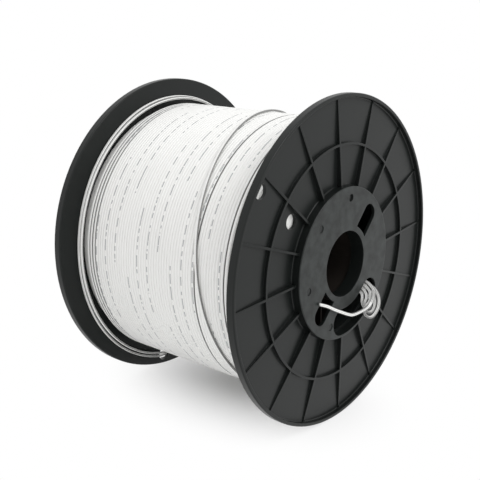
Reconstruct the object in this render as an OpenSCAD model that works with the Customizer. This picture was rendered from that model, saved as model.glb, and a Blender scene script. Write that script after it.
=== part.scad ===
/* [Flanges] */
// Outer diameter of each flange
flange_d = 290; // [250:1:340]
// Clear width between the two flanges
flange_gap = 193; // [140:1:240]
// Thickness of the flange plate
plate_t = 3; // [2.4:0.1:4]
// Width of the rim along the spool's axis
rim_w = 7.5; // [6.5:0.1:10]
// Wall thickness of the rim
rim_t = 3.2; // [2.4:0.1:5]
// Radius of the rim's rounded outer edges
rim_round = 1.2; // [0.6:0.1:2]
// Number of radial ribs on a flange
rib_count = 16; // [8:1:20]
// Thickness of the ribs
rib_t = 2; // [1.4:0.1:2.6]
// Angle of the first rib
rib_phase = 3.5; // [0:0.5:6]
// How far the rib tops fall between the boss and the rim
rib_fall = 3.5; // [1:0.1:4]
// Radius of the ring rib's middle
ring_r = 103; // [95:1:112]
// Turn of the rear flange against the front one
rear_turn = 135; // [125:1:145]

/* [Hub] */
// Diameter of the raised boss and of the barrel
boss_d = 134.8; // [130:0.1:142]
// Height of the boss face over the rim
boss_rise = 3.6; // [2:0.1:8]
// Thickness of the boss face
cap_t = 3; // [2:0.1:4]
// Radius of the boss's rounded edge
boss_round = 1; // [0.4:0.1:1.6]
// Diameter of the spindle bore
bore_d = 58; // [50:0.5:60]
// Depth of the collar round the spindle bore, from the boss face
collar_l = 13; // [9:0.5:20]
// Wall thickness of the collar
collar_t = 2.5; // [1.8:0.1:3]
// Wall thickness of the barrel
barrel_t = 2.3; // [1.8:0.1:3]
// Wall thickness of the spigot that the barrel slides over
spigot_t = 2.4; // [1.6:0.1:2.8]
// Length of the spigot
spigot_l = 12; // [6:0.5:20]
// Wall thickness of the arbor tube
arbor_t = 2.4; // [1.8:0.1:2.8]
// Number of webs between the arbor tube and the barrel
web_count = 4; // [2:1:4]
// Thickness of the webs
web_t = 2; // [1.4:0.1:3]
// Clearance of each seat, on the radius
seat_gap = 0.1; // [0.05:0.01:0.2]

/* [Boss openings] */
// Width of the straight slots
slot_w = 18; // [14:0.5:20]
// Radius that the straight slots reach
slot_reach = 60; // [56:0.5:62]
// Corner radius of the straight slots
slot_round = 8; // [4:0.5:8]
// Angle of the first straight slot
slot_angle = 47; // [40:1:54]
// Inner radius of the kidney slot
kidney_in_r = 40.6; // [39:0.1:41.4]
// Angle where the kidney slot starts
kidney_from = -107; // [-112:1:-104]
// Angle where the kidney slot ends
kidney_to = -28; // [-28:1:-24]
// Diameter of the round ejector marks
mark_d = 6.6; // [4:0.1:8]
// Depth of the ejector marks
mark_deep = 0.6; // [0.3:0.1:1.2]

/* [Cable holes] */
// Diameter of the holes that take the cable's outer end
hole_d = 13; // [8:0.5:13]
// Radius of the inner cable hole's middle
hole_in_r = 84.7; // [82:0.1:90]
// Angle of the inner cable hole
hole_in_angle = 144.4; // [144:0.1:149]
// Distance from the rim's wall to the outer cable hole
hole_rim_gap = 0.5; // [0.5:0.1:6]
// Angle of the outer cable hole
hole_out_angle = 143.3; // [142:0.1:150]

/* [Cable] */
// Width of the flat twin cable
cable_w = 3; // [2.4:0.1:3.1]
// Thickness of the flat twin cable
cable_t = 2; // [1.6:0.1:2.2]
// Diameter over the winding
winding_d = 244.4; // [200:0.1:246]
// Number of loops that stand for the outer layer's turns
layer_loops = 22; // [12:1:22]
// Gap between neighbouring loops
loop_gap = 0.8; // [0.6:0.1:1.5]
// Clearance between the cable and its neighbours
rest_gap = 0.3; // [0.2:0.05:0.6]
// Bare stretch of the outer layer, which the slack turns have left beside the rear flange
bare_w = 9.8; // [8:0.1:12]
// Number of loops in the folded hank
hank_loops = 3; // [2:1:3]

/* [Hidden] */
$fn = 96;
eps = 0.01;

plastic = [0.27, 0.28, 0.28];
dark_plastic = [0.2, 0.2, 0.21];
white = [0.93, 0.93, 0.92];
shaded_white = [0.85, 0.85, 0.83];

// Flange, from the inner face (height 0) out to the boss face
flange_r = flange_d / 2;
rim_in_r = flange_r - rim_t;
boss_r = boss_d / 2;
boss_h = rim_w + boss_rise;
bore_r = bore_d / 2;
collar_r = bore_r + collar_t;
spigot_r = boss_r - barrel_t - seat_gap;
cap_under = boss_h - cap_t;
rib_sink = 0.5;
rib_root = 1;
rib_level = 2;
rib_end_drop = 0.3;
floor_round = 1;
rim_bevel = 0.4;
spigot_root = 2.5;
spigot_bevel = 1;
half_gap = flange_gap / 2;
boss_face_y = -half_gap - boss_h;

// Tubes between the flanges
barrel_in_r = boss_r - barrel_t;
arbor_in_r = collar_r + seat_gap;
arbor_r = arbor_in_r + arbor_t;
web_r = barrel_in_r - seat_gap;
web_end_gap = 0.5;
web_half = half_gap - spigot_l - web_end_gap;
cable_start_d = 10;

// Boss openings
slot_in_r = arbor_r + 0.2;
kidney_lip = 0.2;
kidney_out_r = barrel_in_r - kidney_lip;
kidney_mid_r = (kidney_in_r + kidney_out_r) / 2;
kidney_half = (kidney_out_r - kidney_in_r) / 2;
kidney_end = asin(kidney_half / kidney_mid_r);
mark_places = [[57.5, 85, 2.5], [54.3, 135, 1], [55, 192, 1], [56, 249, 1]];
hole_out_r = rim_in_r - hole_rim_gap - hole_d / 2;

// Winding: 24 rings in a loop, 6 sides
loop_rings = 24;
ring_step = 360 / loop_rings;
winding_r = winding_d / 2;
layer_r = winding_r - cable_t / 2;
core_r = (winding_r - cable_t) * cos(ring_step / 2) - rest_gap;
layer_half = half_gap - rest_gap;
layer_pitch = (2 * layer_half - bare_w + loop_gap) / layer_loops;
band_w = layer_pitch - loop_gap;
jog_from = 0.75;
layer_start = 30;

// Turns over the layer
over_r = (winding_r + rest_gap) / cos(ring_step / 2) + cable_t / 2;
wall_y = half_gap - cable_w / 2 - rest_gap;
cross_from = 60;
cross_to = 313;
cross_start = 7;
cross_steps = 17;
slack_past = 1.7;
slack_exit = 900 - hole_out_angle - rear_turn + slack_past;
slack_dive = slack_past + 3;
slack_side_gap = 0.6;
slack_apart = cable_w + slack_side_gap;
slack_gap = 0.1;
slack_least = 0.35;
slack_mean = 4;
slack_sag = 3.6;
slack_oval = 3.9;
slack_rise_from = 230;
slack_rise_over = 130;
slack_spare = 0.2;
slack_steps = floor((slack_exit - slack_dive) / ring_step - slack_spare);

// Folded hank: the legs of its loops bend out over the slot's edge, the folds turn in towards the
// spool's axis, and each loop stands one step further out than the one before
hank_gap = 0.9;
hank_step = cable_w + hank_gap;
hank_clear = 6.1;
hank_out_r = barrel_in_r - hank_clear;
hank_fold = 6;
hank_mid_r = hank_out_r - hank_fold;
hank_in_r = hank_mid_r - hank_fold;
kidney_ref_r = 52;
hank_along = 53;
hank_down = 9;
hank_top = 22.8;
hank_from = 215;
hank_to = 81;
hank_back = 15;
up_end = 0.36;
over_end = 0.5;
down_end = 0.86;
hank_count = hank_loops * loop_rings;
lead_l = 8;
lead_round = 8.4;
lead_steps = 5;

// Free end of the cable: a last leg, then points across, up, and out from the boss face
tail_leave = 130;
tail_leg_steps = 6;
tail_twist_from = 1;
tail_twist_over = 3;
tail_points = [
    [29.4, -34.4, 11.9], [24.4, -38.2, 13.2], [19.4, -40.8, 13], [14.6, -42.9, 11.8],
    [8.5, -44.7, 9.7], [2.5, -45.5, 7.5], [-2.5, -44, 6], [-11, -40, 5], [-21, -35, 4],
    [-31, -29.5, 3], [-40.5, -25.5, 2]
];

// Section of a cable, as [share of the width, share of the thickness]
flat_six = [[-0.5, 0], [-0.27, 0.5], [0.27, 0.5], [0.5, 0], [0.27, -0.5], [-0.27, -0.5]];
flat_eight = [[-0.5, -0.22], [-0.5, 0.22], [-0.28, 0.5], [0.28, 0.5], [0.5, 0.22], [0.5, -0.22],
    [0.28, -0.5], [-0.28, -0.5]];

function unit(v) = v / norm(v);
function arc(x, y, r, from, to, steps) =
    [for (i = [0 : steps]) let (a = from + (to - from) * i / steps) [x + r * cos(a), y + r * sin(a)]];

// Place on the spool: angle from +X towards +Z, radius, and place along the axis
function around(angle, r, y) = [r * cos(angle), y, r * sin(angle)];

// A ring of a swept cable: its section laid square to the path, its width along a given side
function heading(places, i) =
    unit(places[min(i + 1, len(places) - 1)] - places[max(i - 1, 0)]);
function ring(place, along, side, section, w, t) =
    let (across = unit(side - along * (side * along)), up = cross(across, along))
    [for (s = section) place + across * s[0] * w + up * s[1] * t];
function rings(places, sides, section, w, t) =
    [for (i = [0 : len(places) - 1]) ring(places[i], heading(places, i), sides[i], section, w, t)];

// Least distance between the points of two rings
function ring_gap(a, b) = min([for (p = a) min([for (q = b) norm(p - q)])]);

// Least gap between each ring and the ones about a loop later
function least_gap(loops, per_loop) =
    min([for (i = [0 : len(loops) - per_loop - 2]) for (k = [-1 : 1])
        ring_gap(loops[i], loops[i + per_loop + k])]);

// One closed tube through a row of rings, all faces triangles
module swept(row) {
    n = len(row[0]);
    last = (len(row) - 1) * n;
    sides = [for (i = [0 : len(row) - 2]) for (k = [0 : n - 1]) for (half = [0, 1])
        let (a = i * n + k, b = i * n + (k + 1) % n)
        half == 0 ? [a, b, a + n] : [b, b + n, a + n]];
    front = [for (k = [1 : n - 2]) [0, k + 1, k]];
    back = [for (k = [1 : n - 2]) [last, last + k, last + k + 1]];
    polyhedron(points = [for (r = row) each r], faces = concat(sides, front, back));
}

module tube(out_r, in_r, length) {
    difference() {
        cylinder(r = out_r, h = length, center = true);
        cylinder(r = in_r, h = length + 2, center = true);
    }
}

// Half section of the moulding without its ribs: boss, plate, rim, collar and spigot
module flange_section() {
    polygon(concat(
        [[bore_r, boss_h]],
        arc(boss_r - boss_round, boss_h - boss_round, boss_round, 90, 0, 6),
        arc(boss_r + floor_round, plate_t + floor_round, floor_round, 180, 270, 5),
        arc(rim_in_r - floor_round, plate_t + floor_round, floor_round, 270, 360, 5),
        [[rim_in_r, rim_w - rim_bevel], [rim_in_r + rim_bevel, rim_w]],
        arc(flange_r - rim_round, rim_w - rim_round, rim_round, 90, 0, 6),
        arc(flange_r - rim_round, rim_round, rim_round, 0, -90, 6),
        [[spigot_r, 0], [spigot_r, spigot_bevel - spigot_l], [spigot_r - spigot_bevel, -spigot_l]],
        [[spigot_r - spigot_t, -spigot_l], [spigot_r - spigot_t, spigot_root]],
        [[barrel_in_r, spigot_root], [barrel_in_r, cap_under], [collar_r, cap_under]],
        [[collar_r, boss_h - collar_l], [bore_r, boss_h - collar_l]]
    ));
}

// One radial rib: its top starts level with the rim and falls towards it
module rib() {
    rotate([90, 0, 0])
        linear_extrude(rib_t, center = true)
            polygon([
                [boss_r - rib_root, plate_t - rib_sink], [boss_r - rib_root, rim_w],
                [boss_r + rib_level, rim_w], [rim_in_r - rib_level, rim_w - rib_fall],
                [rim_in_r + rib_root, rim_w - rib_fall - rib_end_drop],
                [rim_in_r + rib_root, plate_t - rib_sink]
            ]);
}

module ring_rib() {
    share = (ring_r - boss_r - rib_level) / (rim_in_r - boss_r - 2 * rib_level);
    rotate_extrude()
        translate([ring_r - rib_t / 2, plate_t - rib_sink])
            square([rib_t, rim_w - plate_t + rib_sink - rib_fall * share]);
}

// Straight slot with a round outer end, its inner end following the arbor tube
module slot_outline() {
    spread = asin(slot_w / 2 / slot_in_r);
    along = slot_reach - slot_round;
    across = slot_w / 2 - slot_round;
    polygon(concat(
        arc(0, 0, slot_in_r, spread, -spread, 8),
        arc(along, -across, slot_round, -90, 0, 10),
        arc(along, across, slot_round, 0, 90, 10)
    ));
}

// Kidney slot: a band just inside the barrel, with round ends
module kidney_outline() {
    start = kidney_from + kidney_end;
    stop = kidney_to - kidney_end;
    polygon(concat(
        arc(0, 0, kidney_out_r, start, stop, 24),
        arc(kidney_mid_r * cos(stop), kidney_mid_r * sin(stop), kidney_half, stop, stop + 180, 16),
        arc(0, 0, kidney_in_r, stop, start, 24),
        arc(kidney_mid_r * cos(start), kidney_mid_r * sin(start), kidney_half,
            start + 180, start + 360, 16)
    ));
}

module boss_cuts() {
    for (turn = [0, 180])
        rotate(slot_angle + turn)
            slot_outline();
    kidney_outline();
}

// One flange moulding, its inner face at height 0 and its boss towards +Z
module flange() {
    difference() {
        union() {
            rotate_extrude()
                flange_section();
            for (i = [0 : rib_count - 1])
                rotate(rib_phase + i * 360 / rib_count)
                    rib();
            ring_rib();
        }
        translate([0, 0, cap_under - eps])
            linear_extrude(cap_t + 1)
                boss_cuts();
        for (m = mark_places)
            rotate(m[1])
                translate([m[0], 0, boss_h - mark_deep * m[2]])
                    cylinder(d = mark_d, h = boss_h);
        rotate(hole_in_angle)
            translate([hole_in_r, 0, -1])
                cylinder(d = hole_d, h = rim_w);
        rotate(hole_out_angle)
            translate([hole_out_r, 0, -1])
                cylinder(d = hole_d, h = rim_w);
    }
}

module front_flange() {
    color(plastic)
        translate([0, -half_gap, 0])
            rotate([90, 0, 0])
                flange();
}

// The same moulding, turned end for end
module rear_flange() {
    color(plastic)
        rotate([0, rear_turn, 0])
            rotate([0, 0, 180])
                translate([0, -half_gap, 0])
                    rotate([90, 0, 0])
                        flange();
}

// Drum wall between the flanges, with the hole that the cable's start comes in by
module barrel() {
    color(dark_plastic)
        difference() {
            rotate([90, 0, 0])
                tube(boss_r, barrel_in_r, flange_gap);
            translate(around(lead_angle, (barrel_in_r + boss_r) / 2, lead_y))
                rotate([0, -lead_angle, 0])
                    rotate([0, 90, 0])
                        cylinder(d = cable_start_d, h = 4 * barrel_t, center = true);
        }
}

// Tube round the spindle, over the flanges' collars
module arbor_tube() {
    color(dark_plastic)
        rotate([90, 0, 0])
            tube(arbor_r, arbor_in_r, 2 * (half_gap + cap_under));
}

// Webs of the arbor tube, which hold the barrel round it
module hub_webs() {
    color(dark_plastic)
        for (i = [0 : web_count - 1])
            rotate([0, -i * 360 / web_count, 0])
                translate([arbor_r + seat_gap / 2, -web_half, -web_t / 2])
                    cube([web_r - arbor_r - seat_gap / 2, 2 * web_half, web_t]);
}

// All layers of cable under the outer one
module cable_core() {
    color(shaded_white)
        rotate([90, 0, 0])
            tube(core_r, boss_r + rest_gap, 2 * layer_half);
}

// Outer layer: each loop lies square to the axis and steps across on the far side
function layer_y(turn) =
    let (whole = floor(turn), part = turn - whole)
    layer_half - bare_w - band_w / 2
        - layer_pitch * (whole + max(0, part - jog_from) / (1 - jog_from));
layer_last = floor((layer_loops - 1 + jog_from) * loop_rings);
layer_rings = rings(
    [for (i = [0 : layer_last])
        around(layer_start + i * ring_step, layer_r, layer_y(i / loop_rings))],
    [for (i = [0 : layer_last]) [0, 1, 0]],
    flat_six, band_w, cable_t);

module cable_layer() {
    echo("cable_layer, least gap to itself in mm", least_gap(layer_rings, loop_rings));
    color(white)
        swept(layer_rings);
}

// A turn that crosses the layer aslant, from near the middle to the front flange
cross_rings = rings(
    [for (i = [0 : cross_steps]) let (share = i / cross_steps)
        around(cross_from + (cross_to - cross_from) * share, over_r,
            -cross_start - (wall_y - cross_start) * share)],
    [for (i = [0 : cross_steps]) [0, 1, 0]],
    flat_six, cable_w, cable_t);

module crossing_turn() {
    color(white)
        swept(cross_rings);
}

// Slack turns by the rear flange: they sag below the winding and end in its outer cable hole
function slack_r(angle) =
    over_r + slack_gap + (slack_least + (1 - slack_least) * angle / slack_exit)
        * (slack_mean - slack_sag * sin(angle) - slack_oval * cos(2 * angle));
function slack_y(angle) =
    let (left = slack_exit - angle)
    left < slack_dive
        ? wall_y + (1 - left / slack_dive) * (half_gap + plate_t - wall_y - cable_w / 2 - rest_gap)
        : min(wall_y,
            wall_y - slack_apart + slack_apart * max(0, angle - slack_rise_from) / slack_rise_over);
slack_angles = concat(
    [for (i = [0 : slack_steps]) i * ring_step],
    [slack_exit - slack_dive, slack_exit - slack_dive / 2, slack_exit]);
slack_rings = rings(
    [for (a = slack_angles) around(a, slack_r(a), slack_y(a))],
    [for (a = slack_angles) [0, 1, 0]],
    flat_six, cable_w, cable_t);

module slack_turns() {
    echo("slack_turns, least gap to itself in mm", least_gap(slack_rings, loop_rings));
    color(white)
        swept(slack_rings);
}

// Hank: a spot on it is [level, angle along the leg, radius from the spool's axis]
function slot_turn(along) = -along / kidney_ref_r * 180 / PI;
function hank_along_at(spot) = hank_along + spot[0] * cos(spot[1]);
function hank_out_at(spot) = spot[0] * sin(spot[1]) - hank_down;
function hank_place(spot) =
    around(slot_turn(hank_along_at(spot)), spot[2], boss_face_y - hank_out_at(spot));
function leg_side(along, angle) =
    let (a = slot_turn(along))
    [cos(angle) * sin(a), -sin(angle), -cos(angle) * cos(a)];
function hank_side(spot) = leg_side(hank_along_at(spot), spot[1]);

function share_of(u, from, to) = (u - from) / (to - from);
function eased(t) = t * t * (3 - 2 * t);
function hank_level(loop) = hank_top - hank_step * (hank_loops - loop);
function fold_reach(level, t) = hank_fold * sin(t) / level * 180 / PI;
function fold_over(low, end, share) =
    let (level = low + hank_step * eased(share))
    [level, end - fold_reach(level, 180 * share), hank_mid_r - hank_fold * cos(180 * share)];
function fold_back(level, share) =
    [level, hank_from + fold_reach(level, 180 * share), hank_mid_r + hank_fold * cos(180 * share)];
function hank_spot(turn) =
    let (loop = floor(turn), u = turn - loop, low = hank_level(loop), high = low + hank_step,
        end = hank_to + hank_back * (hank_loops - 1 - loop))
    u < up_end ? [low, hank_from + (end - hank_from) * share_of(u, 0, up_end), hank_in_r]
    : u < over_end ? fold_over(low, end, share_of(u, up_end, over_end))
    : u < down_end ? [high, end + (hank_from - end) * share_of(u, over_end, down_end), hank_out_r]
    : fold_back(high, share_of(u, down_end, 1));

// Hank's start: straight in by the barrel's hole, round a quarter turn, and up to the first leg
lead_from = [hank_level(0), hank_from, hank_in_r];
lead_way = [-sin(hank_from), cos(hank_from)];
function lead_spot(t) =
    [hank_along_at(lead_from), hank_out_at(lead_from)] + lead_way * (lead_l + lead_round * sin(t));
lead_angle = slot_turn(lead_spot(90)[0]);
lead_y = boss_face_y - lead_spot(90)[1];
function lead_place(t) =
    around(slot_turn(lead_spot(t)[0]), hank_in_r + lead_round * (1 - cos(t)),
        boss_face_y - lead_spot(t)[1]);
function lead_side(t) = leg_side(lead_spot(t)[0], hank_from);

lead_turns = [for (i = [0 : lead_steps]) 90 - 90 * i / lead_steps];
hank_spots = [for (i = [0 : hank_count]) hank_spot(i / loop_rings)];
hank_rings = rings(
    concat([around(lead_angle, boss_r, lead_y)], [for (t = lead_turns) lead_place(t)],
        [for (spot = hank_spots) hank_place(spot)]),
    concat([lead_side(90)], [for (t = lead_turns) lead_side(t)],
        [for (spot = hank_spots) hank_side(spot)]),
    flat_six, cable_w, cable_t);

module tail_hank() {
    echo("tail_hank, least gap to itself in mm", least_gap(hank_rings, loop_rings));
    color(white)
        swept(hank_rings);
}

// Free end of the cable: the hank's last leg, which twists till its flat side faces out
tail_leg = [for (i = [0 : tail_leg_steps])
    [hank_top, hank_from + (tail_leave - hank_from) * i / tail_leg_steps, hank_in_r]];
tail_places = [for (p = tail_points) [p[0], boss_face_y - p[2], p[1]]];
function tail_side(i) =
    let (twist = min(1, max(0, (i - tail_twist_from) / tail_twist_over)), p = tail_places[i])
    hank_side(tail_leg[tail_leg_steps]) * (1 - twist) + unit([p[0], 0, p[2]]) * twist;

module tail_end() {
    color(white)
        swept(rings(
            concat([for (spot = tail_leg) hank_place(spot)], tail_places),
            concat([for (spot = tail_leg) hank_side(spot)],
                [for (i = [0 : len(tail_places) - 1]) tail_side(i)]),
            flat_eight, cable_w, cable_t));
}

front_flange();
rear_flange();
barrel();
arbor_tube();
hub_webs();
cable_core();
cable_layer();
crossing_turn();
slack_turns();
tail_hank();
tail_end();
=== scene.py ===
import math
import bpy
import numpy as np
from mathutils import Matrix, Vector


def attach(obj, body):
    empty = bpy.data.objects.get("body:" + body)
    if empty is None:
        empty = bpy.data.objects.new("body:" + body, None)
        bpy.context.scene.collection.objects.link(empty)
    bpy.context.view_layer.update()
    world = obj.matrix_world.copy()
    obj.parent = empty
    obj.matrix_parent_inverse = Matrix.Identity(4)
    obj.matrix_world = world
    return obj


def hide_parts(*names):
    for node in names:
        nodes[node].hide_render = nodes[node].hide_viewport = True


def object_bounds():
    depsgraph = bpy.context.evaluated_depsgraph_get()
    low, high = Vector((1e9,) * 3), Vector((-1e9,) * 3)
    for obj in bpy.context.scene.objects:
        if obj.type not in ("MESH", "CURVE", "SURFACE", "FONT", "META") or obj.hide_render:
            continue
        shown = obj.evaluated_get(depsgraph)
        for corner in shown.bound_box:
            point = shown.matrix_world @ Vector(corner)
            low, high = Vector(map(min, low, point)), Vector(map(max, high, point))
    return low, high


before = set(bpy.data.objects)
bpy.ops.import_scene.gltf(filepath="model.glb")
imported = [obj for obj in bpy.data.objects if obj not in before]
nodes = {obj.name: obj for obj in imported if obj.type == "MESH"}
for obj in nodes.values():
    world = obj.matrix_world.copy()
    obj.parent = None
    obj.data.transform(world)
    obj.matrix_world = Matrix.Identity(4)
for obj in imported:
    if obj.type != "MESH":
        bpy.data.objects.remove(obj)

mm = 0.001
cadBox = [list(corner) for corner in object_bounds()]
scene = bpy.context.scene
scene.view_settings.view_transform = "Standard"
print("frame:", len(nodes), "nodes")


def addObject(name, data):
    obj = bpy.data.objects.new(name, data)
    scene.collection.objects.link(obj)
    return obj


# Camera

camera = {
    "place": (-0.5935, -0.4844, 0.2171),  # metres, from the middle of the spool
    "bearing": 50.17,  # degrees from +Y towards +X
    "drop": 15.71,  # degrees below the horizon
    "roll": 0.15,  # degrees
    "lens": 63.70,
    "sensor": 36.0,
}


def makeCamera(c):
    # Looks along the bearing and down by the drop, then rolls round its own view line.
    a, d, r = (math.radians(c[k]) for k in ("bearing", "drop", "roll"))
    ahead = np.array([math.sin(a) * math.cos(d), math.cos(a) * math.cos(d), -math.sin(d)])
    level = np.array([math.cos(a), -math.sin(a), 0.0])
    upright = np.cross(level, ahead)
    right = math.cos(r) * level + math.sin(r) * upright
    up = np.cross(right, ahead)
    data = bpy.data.cameras.new("camera")
    data.lens = c["lens"]
    data.sensor_width = c["sensor"]
    scene.camera = addObject("camera", data)
    turn = Matrix(np.array([right, up, -ahead]).T.tolist()).to_4x4()
    scene.camera.matrix_world = Matrix.Translation(c["place"]) @ turn


makeCamera(camera)
print("camera made")


# Shapes: places, sweeps and meshes. Lengths are in mm until gridPiece makes a mesh of them.

def around(angle, r, y):
    # A place on the spool: angle in degrees from +X towards +Z, radius, and place along the axis.
    a = np.radians(angle)
    return np.stack([r * np.cos(a), y + 0 * a, r * np.sin(a)], axis=-1)


def smooth(t):
    # Rises from 0 to 1 with level ends: 3 t^2 - 2 t^3.
    t = np.clip(t, 0, 1)
    return t * t * (3 - 2 * t)


def sweep(path, side, section):
    # Each ring is the section laid square to the path: place + side x + up h, where up is
    # side x heading.
    along = np.gradient(path, axis=0)
    along /= np.linalg.norm(along, axis=1, keepdims=True)
    side = side - along * (side * along).sum(1, keepdims=True)
    side /= np.linalg.norm(side, axis=1, keepdims=True)
    up = np.cross(side, along)
    x, h = section[None, :, :1], section[None, :, 1:]
    return path[:, None] + side[:, None] * x + up[:, None] * h


def runOf(path):
    # Length along the path up to each of its points.
    steps = np.linalg.norm(np.diff(path, axis=0), axis=1)
    return np.concatenate([[0], np.cumsum(steps)])


def gridPiece(name, grid, looped=False, run=None, across=1.0):
    # Joins a grid of rings, round each ring and from ring to ring. A looped grid closes on its
    # first ring. The place along the cable has a value per ring. The place across it is one
    # value, one per point of the section, or one per vertex, and stretching it widens the painted
    # shade along the edge that the jacket's material draws by it.
    rings, points = grid.shape[:2]
    steps = np.arange(rings if looped else rings - 1)
    i, k = np.meshgrid(steps, np.arange(points), indexing="ij")
    j, m = (i + 1) % rings, (k + 1) % points
    faces = np.stack([i * points + k, j * points + k, j * points + m, i * points + m], -1)
    faces = faces.reshape(-1, 4).tolist()
    if not looped:
        faces.append(list(range(points)))
        faces.append([(rings - 1) * points + p for p in reversed(range(points))])
    mesh = bpy.data.meshes.new(name)
    mesh.from_pydata((grid.reshape(-1, 3) * mm).tolist(), [], faces)
    mesh.polygons.foreach_set("use_smooth", np.ones(len(faces), bool))
    runs = np.zeros(rings) if run is None else run * mm
    sides = np.broadcast_to(across, (rings, points)) * mm
    for label, values in (("run", np.repeat(runs, points)), ("across", sides.ravel())):
        mesh.attributes.new(label, "FLOAT", "POINT").data.foreach_set("value", values)
    mesh.update()
    piece = addObject(name, mesh)
    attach(piece, "spool")
    print("piece:", name, len(faces), "faces")
    return piece


# The flat cable of two cores, which all the pieces below are made of

cable = {
    "width": 3.0,
    "thick": 2.0,
    "sides": 16,  # points round its section
}


def twinSection(count, notch=0.0):
    # Two round cores side by side: the height at x is that of the nearer core's circle, less a
    # notch at 0.
    t = np.arange(count) * 2 * np.pi / count
    half, core = cable["width"] / 2, cable["thick"] / 2
    x = half * np.cos(t)
    rise = np.sqrt(np.maximum(core ** 2 - (np.abs(x) - (half - core)) ** 2, 0))
    rise -= notch * np.isclose(x, 0)
    return np.stack([x, np.sign(np.sin(t).round(9)) * rise], axis=-1)


def wound(path, section):
    # The cable lies flat on the drum: its width runs along the spool's axis.
    return sweep(path, np.tile([0.0, 1.0, 0.0], (len(path), 1)), section)


# The cable's inner end: in by the barrel, folded into a hank, and across the boss

cableEnd = {
    "notch": 0.25,  # by which the two cores tear apart
    "bossFace": -107.6,  # place of the boss face along the axis
    "barrelR": 67.4,
    "outerR": 59.0,  # radius of the legs nearest the barrel
    "foldR": 6.0,
    "slotR": 52.0,  # radius along which the kidney slot is measured
    "along": 53.0,  # the legs bend round a centre so far along the slot
    "down": 9.0,  # and so far in from the boss face
    "top": 22.8,  # how far the last leg bends out from its centre
    "step": 3.9,  # each loop stands this much further out
    "loops": 3,
    "fromAngle": 215.0,  # round that centre, the legs start here
    "toAngle": 81.0,  # and fold back here
    "back": 15.0,  # each loop further in folds this much sooner
    "shares": (0.36, 0.5, 0.86),  # of a loop, where a leg or a fold ends
    "ringsPerLoop": 96,
    "lead": 8.0,  # length of the straight rise to the first leg
    "leadRound": 8.4,  # radius of the quarter turn before it
    "leadRings": 8,  # on each straight stretch
    "roundRings": 19,  # on the quarter turn
    "leave": 130.0,  # angle at which the last leg leaves its bend
    "legPlaces": 6,  # the last leg has as many rings as so many of the places below
    "ringsPerPlace": 8,
    "twist": (1, 3),  # starts after the first of those places, and takes three of them
    "runFrom": 200.0,  # the stretch of cable here lies between two print marks
    "paintedShadeSpread": 1.28,  # painted shade along its sides spreads wider than on the wound turns
    "length": 0.485,  # metres
    # x, z, and height over the boss face
    "tail": [(29.4, -34.4, 11.9), (24.4, -38.2, 13.2), (19.4, -40.8, 13), (14.6, -42.9, 11.8),
             (8.5, -44.7, 9.7), (2.5, -45.5, 7.5), (-2.5, -44, 6), (-11, -40, 5), (-21, -35, 4),
             (-31, -29.5, 3), (-40.5, -25.5, 2)],
}


def hankSpot(c, turn):
    # Level, angle and radius after so many loops: a leg out, a fold outwards, a leg back, and a
    # fold inwards.
    one, two, three = c["shares"]
    loop = np.minimum(np.floor(turn), c["loops"] - 1)
    u = turn - loop
    end = c["toAngle"] + c["back"] * (c["loops"] - 1 - loop)
    over = np.clip((u - one) / (two - one), 0, 1)
    back = np.clip((u - three) / (1 - three), 0, 1)
    level = c["top"] - c["step"] * (c["loops"] - loop - smooth(over))
    legOut = c["fromAngle"] + (end - c["fromAngle"]) * np.clip(u / one, 0, 1)
    legBack = end + (c["fromAngle"] - end) * np.clip((u - two) / (three - two), 0, 1)
    reach = np.degrees(c["foldR"] / level) * (np.sin(np.pi * back) - np.sin(np.pi * over))
    r = c["outerR"] - c["foldR"] * (2 + np.cos(np.pi * over) - np.cos(np.pi * back))
    return level, np.where(u < two, legOut, legBack) + reach, r


def innerR(c):
    # Radius of the legs nearest the spindle.
    return c["outerR"] - 2 * c["foldR"]


def slotPlace(c, along, out, r):
    # A place along the kidney slot, out from the boss face, at a radius from the spool's axis.
    turn = -along / c["slotR"]
    return np.stack([r * np.cos(turn), c["bossFace"] - out, r * np.sin(turn)], -1)


def legSide(c, along, angle):
    # Straight out from the centre that the legs bend round.
    turn, a = -along / c["slotR"], np.radians(angle)
    return np.stack([np.cos(a) * np.sin(turn), -np.sin(a), -np.cos(a) * np.cos(turn)], -1)


def hankPlace(c, level, angle, r):
    # Round the centre of the bends: its place plus level cos along the slot and level sin out.
    a = np.radians(angle)
    along = c["along"] + level * np.cos(a)
    return slotPlace(c, along, level * np.sin(a) - c["down"], r), legSide(c, along, angle)


def leadIn(c):
    # Straight in by the barrel's hole, round a quarter turn, then straight up to the first leg.
    a, straight, bend = math.radians(c["fromAngle"]), c["leadRings"], c["roundRings"]
    level = c["top"] - c["step"] * c["loops"]
    t = np.radians(np.linspace(90, 0, bend))
    sink = np.concatenate([np.full(straight, t[0]), t, np.zeros(straight - 1)])
    rise = np.linspace(0, c["lead"], straight + 1)[1:-1]
    entry = np.linspace(c["barrelR"] - innerR(c) - c["leadRound"], 0, straight + 1)[:-1]
    short = np.concatenate([np.zeros(straight + bend), rise])
    more = np.concatenate([entry, np.zeros(bend + straight - 1)])
    reach = c["lead"] + c["leadRound"] * np.sin(sink) - short
    along = c["along"] + level * math.cos(a) - math.sin(a) * reach
    out = level * math.sin(a) - c["down"] + math.cos(a) * reach
    r = innerR(c) + c["leadRound"] * (1 - np.cos(sink)) + more
    return slotPlace(c, along, out, r), legSide(c, along, np.full(len(along), c["fromAngle"]))


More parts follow.
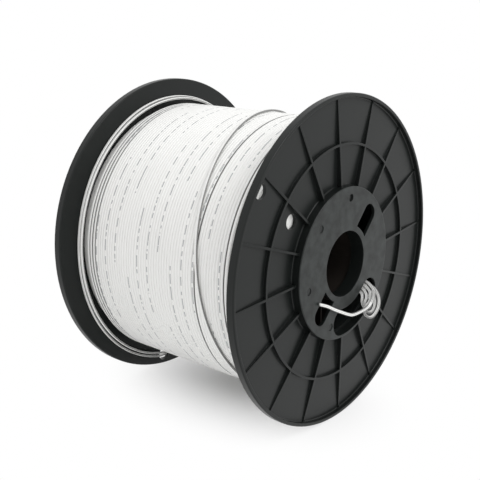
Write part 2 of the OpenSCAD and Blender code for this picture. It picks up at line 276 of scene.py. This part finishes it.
def throughPoints(points, before, steps):
    # Catmull-Rom: each stretch leaves a point along the line between that point's neighbours.
    p = np.vstack([before, points, 2 * points[-1] - points[-2]])
    t = (np.arange(steps) / steps)[None, :, None]
    a, b, c, d = (p[i:len(p) - 3 + i, None] for i in range(4))
    bend, pull = a - 2.5 * b + 2 * c - d / 2, 1.5 * (b - c) + (d - a) / 2
    curve = b + (c - a) / 2 * t + bend * t ** 2 + pull * t ** 3
    return np.vstack([curve.reshape(-1, 3), points[-1]])


def lastLeg(c):
    # The hank's last leg leaves its bend for the places in "tail", and turns its flat side out
    # on the way.
    count = c["ringsPerPlace"]
    angle = np.linspace(c["fromAngle"], c["leave"], c["legPlaces"] * count + 1)
    leg, legOut = hankPlace(c, c["top"], angle, innerR(c))
    points = np.array([(x, c["bossFace"] - h, z) for x, z, h in c["tail"]], float)
    free = throughPoints(np.vstack([leg[-1:], points]), leg[-1 - count:-count], count)[1:]
    start, over = c["twist"]
    twist = smooth((np.arange(len(free)) / count - start) / over)[:, None]
    radial = free * [1, 0, 1]
    radial /= np.linalg.norm(radial, axis=1, keepdims=True)
    freeOut = legOut[-1] * (1 - twist) + radial * twist
    return np.vstack([leg, free]), np.vstack([legOut, freeOut])


def endPath(c):
    turns = np.arange(c["loops"] * c["ringsPerLoop"]) / c["ringsPerLoop"]
    parts = [leadIn(c), hankPlace(c, *hankSpot(c, turns)), lastLeg(c)]
    return np.vstack([place for place, _ in parts]), np.vstack([side for _, side in parts])


def makeCableEnd(c):
    path, side = endPath(c)
    run = runOf(path)
    section = twinSection(cable["sides"], c["notch"])
    x = section[:, 0]
    across = np.where(np.isclose(x, 0), cable["width"] / 2, c["paintedShadeSpread"] * x)  # painted shade in the notch
    piece = gridPiece("cableEnd", sweep(path, side, section), run=run + c["runFrom"],
                      across=across)
    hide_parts("tail_hank", "tail_end")
    print("cable end length, mm:", round(float(run[-1]), 1))
    return piece


endPiece = makeCableEnd(cableEnd)


# The winding's outer layer

winding = {
    "half": 96.2,  # the turns fill the space between the flanges, up to this from the middle
    "bare": 9.8,  # stretch that the slack turns have left beside the rear flange
    "midR": 121.2,  # radius of the outer layer's middle
    "spare": 0.03,  # between neighbouring turns
    "start": 30.0,  # degrees
    "jogFrom": 0.75,  # share of a turn after which it steps across to the next place
    "ringsPerTurn": 84,
    "sides": 12,  # points round its section, fewer than elsewhere because it is long
    # how far the turns sway along the axis and swell outwards, and how many times per turn
    "sway": [(0.03, 1.37), (0.02, 3.11)],
    "swell": [(0.05, 0.83), (0.04, 2.29)],
    # places along the axis where two turns part, and by how much
    "partings": [(83.0, 0.5), (79.6, 0.6), (75.4, 0.5), (-41.3, 1.3), (-75.4, 1.2)],
    "clean": 1.2,  # across stops here, short of the painted shade, where turns lie close
    "paintedShadeSpread": 1.26,  # but the turn behind a parting gets painted shade on its side towards the front
    "markPlace": (61.6, 135.0),  # where a print mark starts: along the axis, and its angle
}


def layerPlace(w, u):
    # Place along the axis after u turns: level for most of a turn, then a smooth step to the
    # next.
    width, whole = cable["width"], np.floor(u)
    jog = whole + smooth((u - whole - w["jogFrom"]) / (1 - w["jogFrom"]))
    y = w["half"] - w["bare"] - width / 2 - (width + w["spare"]) * jog
    for place, gap in w["partings"]:
        y = y - gap * smooth((place - y) / width + 0.5)
    return y


def layerTurns(w):
    # Turns that fit between the flanges once the partings have had their share.
    width = cable["width"]
    free = 2 * w["half"] - w["bare"] - width - sum(gap for _, gap in w["partings"])
    return free / (width + w["spare"])


def waves(pairs, a):
    # size sin(rate a), summed over the pairs.
    return sum(size * np.sin(rate * a) for size, rate in pairs)


def makeLayer(w):
    # A helix of level turns: the radius and the place along the axis sway a little round it.
    last = math.floor(layerTurns(w)) + w["jogFrom"]
    u = np.arange(int(last * w["ringsPerTurn"])) / w["ringsPerTurn"]
    angle = w["start"] + 360 * u
    a = np.radians(angle)
    y = layerPlace(w, u) + waves(w["sway"], a)
    path = around(angle, w["midR"] + waves(w["swell"], a), y)
    run = runOf(path)
    place, markAngle = w["markPlace"]
    at = np.argmin(np.abs(y - place) + np.abs((angle - markAngle + 180) % 360 - 180))
    section = twinSection(w["sides"])
    across = np.tile(np.clip(section[:, 0], -w["clean"], w["clean"]), (len(u), 1))
    # painted shade on the front side of the turn behind each parting
    for parting, gap in w["partings"]:
        beside = (y > parting - gap / 2) & (y < parting + cable["width"])
        across[np.ix_(beside, section[:, 0] < 0)] *= w["paintedShadeSpread"]
    piece = gridPiece("woundLayer", wound(path, section), run=run - run[at], across=across)
    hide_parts("cable_layer")
    return piece


layerPiece = makeLayer(winding)


# The layers under it, of which only the ridges on the outside show

packed = {
    "innerR": 67.7,
    "outerR": 117.8,
    "pitch": 3.0,  # between turns along the axis
    "stack": 2.8,  # between layers on the end faces
    "ringsPerLayer": 6,
    "ridge": 0.35,
    "steps": 160,  # round the axis
}


def makePacked(p, half):
    # Turned round the axis: its outer side and both end faces are rows of rounded ridges, |sin|
    # high.
    r = np.arange(p["innerR"], p["outerR"], p["stack"] / p["ringsPerLayer"])
    dip = p["ridge"] * (1 - np.abs(np.sin(np.pi * (r - p["innerR"]) / p["stack"])))
    y = np.arange(-half + p["pitch"] / 2, half - p["pitch"] / 2, p["pitch"] / 2)
    fall = p["ridge"] * (1 - np.abs(np.sin(np.pi * (y + half) / p["pitch"])))
    front = np.stack([r, -half + dip], -1)
    outer = np.stack([p["outerR"] - fall, y], -1)
    rear = np.stack([r, half - dip], -1)[::-1]
    profile = np.vstack([front, outer, rear])
    angle = np.arange(p["steps"]) * 360 / p["steps"]
    grid = around(angle[:, None], profile[None, :, 0], profile[None, :, 1])
    piece = gridPiece("packedTurns", grid, looped=True)
    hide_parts("cable_core")
    return piece


packedPiece = makePacked(packed, winding["half"])


# The turn that crosses the layer aslant

crossing = {
    "fromAngle": 60.0,
    "toAngle": 313.0,
    "fromY": -7.0,
    "toY": -94.7,
    "midR": 123.5,
    "sink": 1.6,  # its ends go down among the turns
    "sinkOver": 0.06,  # share of its length
    "rings": 220,
    "runFrom": 300.0,  # where its print marks fall
    "paintedShadeSpread": (1.36, 0.85),  # painted shade spreads wider on its side towards the front flange than on the other
}


def makeCrossing(c):
    # Place along the axis and angle both rise evenly; the radius falls away at both ends.
    s = np.linspace(0, 1, c["rings"])
    angle = c["fromAngle"] + (c["toAngle"] - c["fromAngle"]) * s
    y = c["fromY"] + (c["toY"] - c["fromY"]) * s
    ends = smooth(np.minimum(s, 1 - s) / c["sinkOver"])
    path = around(angle, c["midR"] - c["sink"] * (1 - ends), y)
    section = twinSection(cable["sides"])
    # painted shade spreads by side
    frontShadeSpread, rearShadeSpread = c["paintedShadeSpread"]
    across = section[:, 0] * np.where(section[:, 0] > 0, rearShadeSpread, frontShadeSpread)
    piece = gridPiece("crossTurn", wound(path, section), run=runOf(path) + c["runFrom"],
                      across=across)
    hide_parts("crossing_turn")
    return piece


crossPiece = makeCrossing(crossing)


# The slack turns by the rear flange, which hang low and leave by its outer hole

slack = {
    "exit": 623.4,  # degrees from its start to the rear flange's outer hole
    "dive": 4.7,  # degrees over which it turns into that hole
    "overR": 124.66,  # radius at which it would lie on the turns below
    "least": 0.35,  # share of the rest that its start already has
    "mean": 4.0,
    "sag": 3.6,
    "oval": 3.9,
    "wallY": 94.7,  # against the rear flange
    "endY": 98.0,  # in its hole
    "apart": 3.6,  # from the first turn to the second, along the axis
    "riseFrom": 230.0,  # degrees at which it starts to cross from one to the other
    "riseOver": 130.0,
    "rings": 560,
    "runFrom": 450.0,  # where its print marks fall
    # narrows the painted shade along its sides a little
    "paintedShadeSpread": 0.92,
}


def makeSlack(s):
    # Radius grows along the turns by mean - sag sin - oval cos 2, so they hang low and stand off
    # at the sides.
    angle = np.linspace(0, s["exit"], s["rings"])
    share = s["least"] + (1 - s["least"]) * angle / s["exit"]
    a = np.radians(angle)
    r = s["overR"] + share * (s["mean"] - s["sag"] * np.sin(a) - s["oval"] * np.cos(2 * a))
    rise = s["apart"] * np.maximum(0, angle - s["riseFrom"]) / s["riseOver"]
    dive = np.clip(1 - (s["exit"] - angle) / s["dive"], 0, 1)
    y = np.minimum(s["wallY"], s["wallY"] - s["apart"] + rise) + dive * (s["endY"] - s["wallY"])
    path = around(angle, r, y)
    section = twinSection(cable["sides"])
    piece = gridPiece("looseTurns", wound(path, section), run=runOf(path) + s["runFrom"],
                      across=s["paintedShadeSpread"] * section[:, 0])
    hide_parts("slack_turns")
    return piece


slackPiece = makeSlack(slack)
print("winding made")


# Materials. Where a setting below is itself a dictionary, it fills a node's sockets by name.

colourA, colourB, mixedColour = 6, 7, 2  # places of the colour sockets on a Mix node


def fromHex(code):
    # sRGB hex to linear: (v + 0.055) / 1.055 to the power 2.4, or v / 12.92 near black.
    v = [int(code[i:i + 2], 16) / 255 for i in (1, 3, 5)]
    return tuple(((x + 0.055) / 1.055) ** 2.4 if x > 0.04045 else x / 12.92 for x in v) + (1.0,)


def addNode(tree, kind, inputs=None, **settings):
    # A node with its settings. Each input takes a plain value, a node's output, or a node, whose
    # first output is meant.
    node = tree.nodes.new(kind)
    for name, value in settings.items():
        setattr(node, name, value)
    for socket, value in (inputs or {}).items():
        if isinstance(value, bpy.types.Node):
            value = value.outputs[0]
        if isinstance(value, bpy.types.NodeSocket):
            tree.links.new(value, node.inputs[socket])
        else:
            node.inputs[socket].default_value = value
    return node


def newMaterial(name):
    material = bpy.data.materials.new(name)
    material.use_nodes = True
    material.node_tree.nodes.clear()
    return material, material.node_tree


# Black polypropylene, injection moulded in a spark-eroded tool: a soft sheen over a fine even
# grain, slow flow shades from the gate, and painted light: boss faces painted paler in patches
flangePlastic = {
    "name": "mouldedPolypropylene",
    "low": "#121514",
    "high": "#191c1b",
    "flow": {"Scale": 1 / (70 * mm), "Detail": 3.0},
    "grain": {"Scale": 1 / (0.9 * mm), "Detail": 2.0},  # coarser than the real 0.1 mm, to show
    "depth": 0.03 * mm,
    "edge": 0.45 * mm,  # radius that the mould leaves on sharp edges
    "edgeSamples": 4,
    "roughness": {"To Min": 0.29, "To Max": 0.39},
    "ior": 1.49,
    "specular": 0.26,
    # painted light: the proud boss faces are painted this paler colour
    "paintedLight": "#303433",
    "paintedLightFrom": {"From Min": 106.6 * mm, "From Max": 107.4 * mm},  # from the spool's middle
    "lightPatches": {"Scale": 1 / (9 * mm), "Detail": 5.0},
    "lightPatchesFrom": {"From Min": 0.3, "From Max": 0.7},
}

# The same plastic inside the hub, from reground stock: browner and duller
hubPlastic = {
    "name": "regroundPolypropylene",
    "low": "#1c1816",
    "high": "#28231f",
    "flow": {"Scale": 1 / (50 * mm), "Detail": 3.0},
    "grain": {"Scale": 1 / (0.9 * mm), "Detail": 2.0},
    "depth": 0.03 * mm,
    "edge": 0.3 * mm,
    "edgeSamples": 4,
    "roughness": {"To Min": 0.55, "To Max": 0.65},
    "ior": 1.49,
    "specular": 0.2,
}


def paintedLightShare(tree, place, p):
    # Painted light's share: 0 to 1 with the height along the spool's axis, broken up by soft
    # patches.
    along = addNode(tree, "ShaderNodeSeparateXYZ", {"Vector": place}).outputs["Y"]
    height = addNode(tree, "ShaderNodeMath", {0: along}, operation="ABSOLUTE")
    proud = addNode(tree, "ShaderNodeMapRange", {"Value": height, **p["paintedLightFrom"]})
    lightPatches = addNode(tree, "ShaderNodeTexNoise", {"Vector": place, **p["lightPatches"]})
    patchy = addNode(tree, "ShaderNodeMapRange", {"Value": lightPatches, **p["lightPatchesFrom"]})
    return addNode(tree, "ShaderNodeMath", {0: proud, 1: patchy}, operation="MULTIPLY")


def makePlastic(p):
    material, tree = newMaterial(p["name"])
    place = addNode(tree, "ShaderNodeTexCoord").outputs["Object"]
    flow = addNode(tree, "ShaderNodeTexNoise", {"Vector": place, **p["flow"]})
    grain = addNode(tree, "ShaderNodeTexNoise", {"Vector": place, **p["grain"]})
    colour = addNode(tree, "ShaderNodeMix", {
        "Factor": flow, colourA: fromHex(p["low"]), colourB: fromHex(p["high"]),
    }, data_type="RGBA").outputs[mixedColour]
    # painted light on the proud boss faces
    if "paintedLight" in p:
        colour = addNode(tree, "ShaderNodeMix", {
            "Factor": paintedLightShare(tree, place, p), colourA: colour, colourB: fromHex(p["paintedLight"]),
        }, data_type="RGBA").outputs[mixedColour]
    rough = addNode(tree, "ShaderNodeMapRange", {"Value": flow, **p["roughness"]})
    soft = addNode(tree, "ShaderNodeBevel", {"Radius": p["edge"]}, samples=p["edgeSamples"])
    bump = addNode(tree, "ShaderNodeBump", {
        "Height": grain, "Distance": p["depth"], "Normal": soft})
    shader = addNode(tree, "ShaderNodeBsdfPrincipled", {
        "Base Color": colour, "Roughness": rough, "Normal": bump, "IOR": p["ior"],
        "Specular IOR Level": p["specular"]})
    addNode(tree, "ShaderNodeOutputMaterial", {"Surface": shader})
    return material


# White flame-retardant polyethylene, extruded over two cores: smooth and satin, a little greyed
# by handling, with rows of plain ink dashes along the middle of its flat side, and painted shade
# along its sides
jacket = {
    "name": "extrudedPolyethylene",
    "clean": "#f5f5f3",
    "handled": "#ececea",
    "shade": {"Scale": 1 / (45 * mm), "Detail": 4.0},
    "roughness": {"To Min": 0.32, "To Max": 0.46},
    "ior": 1.5,
    "ink": "#b0b2b3",
    "period": 0.9942,  # metres from one mark to the next
    "mark": 0.164,  # length of a mark, metres
    "dash": {"Scale": 1 / (7.0 * mm), "Detail": 1.0},
    "dashShare": 0.53,  # of the ink line's length, drawn as dashes of uneven length
    "inkHalf": 0.6 * mm,
    "paintedShadeFrom": 1.3 * mm,  # past this from the middle, the sides get painted shade
    # painted shade: the colour drawn along the sides
    "paintedShade": "#757574",
    "paintedShadeShare": 0.9,
}


def makeJacket(p):
    material, tree = newMaterial(p["name"])
    run = addNode(tree, "ShaderNodeAttribute", attribute_name="run").outputs["Fac"]
    across = addNode(tree, "ShaderNodeAttribute", attribute_name="across").outputs["Fac"]
    place = addNode(tree, "ShaderNodeTexCoord").outputs["Object"]
    aside = addNode(tree, "ShaderNodeMath", {0: across}, operation="ABSOLUTE")

    # Ink: inside a mark, inside one of its dashes, and near the middle of the flat side
    marks = addNode(tree, "ShaderNodeMath", {0: run, 1: p["period"]}, operation="DIVIDE")
    past = addNode(tree, "ShaderNodeMath", {0: marks}, operation="FRACT")
    inMark = addNode(tree, "ShaderNodeMath", {0: past, 1: p["mark"] / p["period"]},
                     operation="LESS_THAN")
    uneven = addNode(tree, "ShaderNodeTexNoise", {"W": run, **p["dash"]}, noise_dimensions="1D")
    inDash = addNode(tree, "ShaderNodeMath", {0: uneven, 1: p["dashShare"]},
                     operation="LESS_THAN")
    dashed = addNode(tree, "ShaderNodeMath", {0: inMark, 1: inDash}, operation="MULTIPLY")
    onMiddle = addNode(tree, "ShaderNodeMath", {0: aside, 1: p["inkHalf"]},
                       operation="LESS_THAN")
    inked = addNode(tree, "ShaderNodeMath", {0: dashed, 1: onMiddle}, operation="MULTIPLY")

    # Painted shade: along the sides
    onSide = addNode(tree, "ShaderNodeMath", {0: aside, 1: p["paintedShadeFrom"]},
                     operation="GREATER_THAN")
    inPaintedShade = addNode(tree, "ShaderNodeMath", {0: onSide, 1: p["paintedShadeShare"]},
                       operation="MULTIPLY")

    shade = addNode(tree, "ShaderNodeTexNoise", {"Vector": place, **p["shade"]})
    colour = addNode(tree, "ShaderNodeMix", {
        "Factor": shade, colourA: fromHex(p["clean"]), colourB: fromHex(p["handled"]),
    }, data_type="RGBA").outputs[mixedColour]
    # painted shade along the sides, then ink on top
    for share, coating in ((inPaintedShade, p["paintedShade"]), (inked, p["ink"])):
        colour = addNode(tree, "ShaderNodeMix", {
            "Factor": share, colourA: colour, colourB: fromHex(coating),
        }, data_type="RGBA").outputs[mixedColour]
    rough = addNode(tree, "ShaderNodeMapRange", {"Value": shade, **p["roughness"]})
    shader = addNode(tree, "ShaderNodeBsdfPrincipled", {
        "Base Color": colour, "Roughness": rough, "IOR": p["ior"]})
    addNode(tree, "ShaderNodeOutputMaterial", {"Surface": shader})
    return material


def coat(objects, material):
    for obj in objects:
        obj.data.materials.clear()
        obj.data.materials.append(material)


coat([nodes[name] for name in ("front_flange", "rear_flange")], makePlastic(flangePlastic))
coat([nodes[name] for name in ("barrel", "arbor_tube", "hub_webs")], makePlastic(hubPlastic))
coat([endPiece, layerPiece, packedPiece, crossPiece, slackPiece], makeJacket(jacket))
print("materials made")


# Floor, background and light

studio = {
    "floorR": 3.0,
    "floorSides": 96,
    "floorColour": "#f6f6f6",
    "shadeReach": (1.0, 0.7, 0.0),  # the shaded oval is longer along the spindle's axis
    # metres from the middle, over which the floor turns plain white
    "fade": {"From Min": 0.0, "From Max": 0.12},
    "plain": {"Color": fromHex("#ffffff"), "Strength": 1.0},
    "sky": {"Color": fromHex("#ffffff"), "Strength": 0.85},
    "keyPlace": (0.05, -1.20, 1.30),
    "keySize": 0.8,
    "keyPower": 11.0,
    "keyAim": (0.0, -0.05, 0.0),
}


def plainRays(tree):
    # 1 for the rays that show plain white: the camera's, and those through or off a shiny
    # surface.
    path = addNode(tree, "ShaderNodeLightPath").outputs
    seen = path["Is Camera Ray"]
    for kind in ("Is Glossy Ray", "Is Transmission Ray"):
        seen = addNode(tree, "ShaderNodeMath", {0: seen, 1: path[kind]}, operation="MAXIMUM")
    return seen


def makeFloor(s):
    # A disc at the height that the rims stand on: pale where shadows fall, plain white further
    # out.
    count = s["floorSides"]
    angle = np.arange(count) * 2 * np.pi / count
    rim = np.stack([s["floorR"] * np.cos(angle), s["floorR"] * np.sin(angle),
                    np.full(count, cadBox[0][2])], -1)
    mesh = bpy.data.meshes.new("floor")
    mesh.from_pydata(rim.tolist(), [], [list(range(count))])
    floor = addObject("floor", mesh)
    material, tree = newMaterial("paperSweep")
    place = addNode(tree, "ShaderNodeTexCoord").outputs["Object"]
    flat = addNode(tree, "ShaderNodeVectorMath", {0: place, 1: s["shadeReach"]},
                   operation="MULTIPLY")
    far = addNode(tree, "ShaderNodeVectorMath", {0: flat}, operation="LENGTH").outputs["Value"]
    fade = addNode(tree, "ShaderNodeMapRange", {"Value": far, **s["fade"]},
                   interpolation_type="SMOOTHSTEP")
    share = addNode(tree, "ShaderNodeMath", {0: fade, 1: plainRays(tree)}, operation="MULTIPLY")
    paper = addNode(tree, "ShaderNodeBsdfDiffuse", {"Color": fromHex(s["floorColour"])})
    glow = addNode(tree, "ShaderNodeEmission", s["plain"])
    mixed = addNode(tree, "ShaderNodeMixShader", {0: share, 1: paper, 2: glow})
    addNode(tree, "ShaderNodeOutputMaterial", {"Surface": mixed})
    coat([floor], material)


def makeSky(s):
    # Plain white behind the spool and in reflections, a softer grey as light.
    world = bpy.data.worlds.new("sky")
    scene.world = world
    world.use_nodes = True
    tree = world.node_tree
    tree.nodes.clear()
    soft = addNode(tree, "ShaderNodeBackground", s["sky"])
    plain = addNode(tree, "ShaderNodeBackground", s["plain"])
    mixed = addNode(tree, "ShaderNodeMixShader", {0: plainRays(tree), 1: soft, 2: plain})
    addNode(tree, "ShaderNodeOutputWorld", {"Surface": mixed})


def makeKey(s):
    light = bpy.data.lights.new("key", "AREA")
    light.size = s["keySize"]
    light.energy = s["keyPower"]
    aim = Vector(s["keyAim"]) - Vector(s["keyPlace"])
    turn = aim.to_track_quat("-Z", "Y").to_matrix().to_4x4()
    addObject("key", light).matrix_world = Matrix.Translation(s["keyPlace"]) @ turn


makeFloor(studio)
makeSky(studio)
makeKey(studio)
print("studio made")
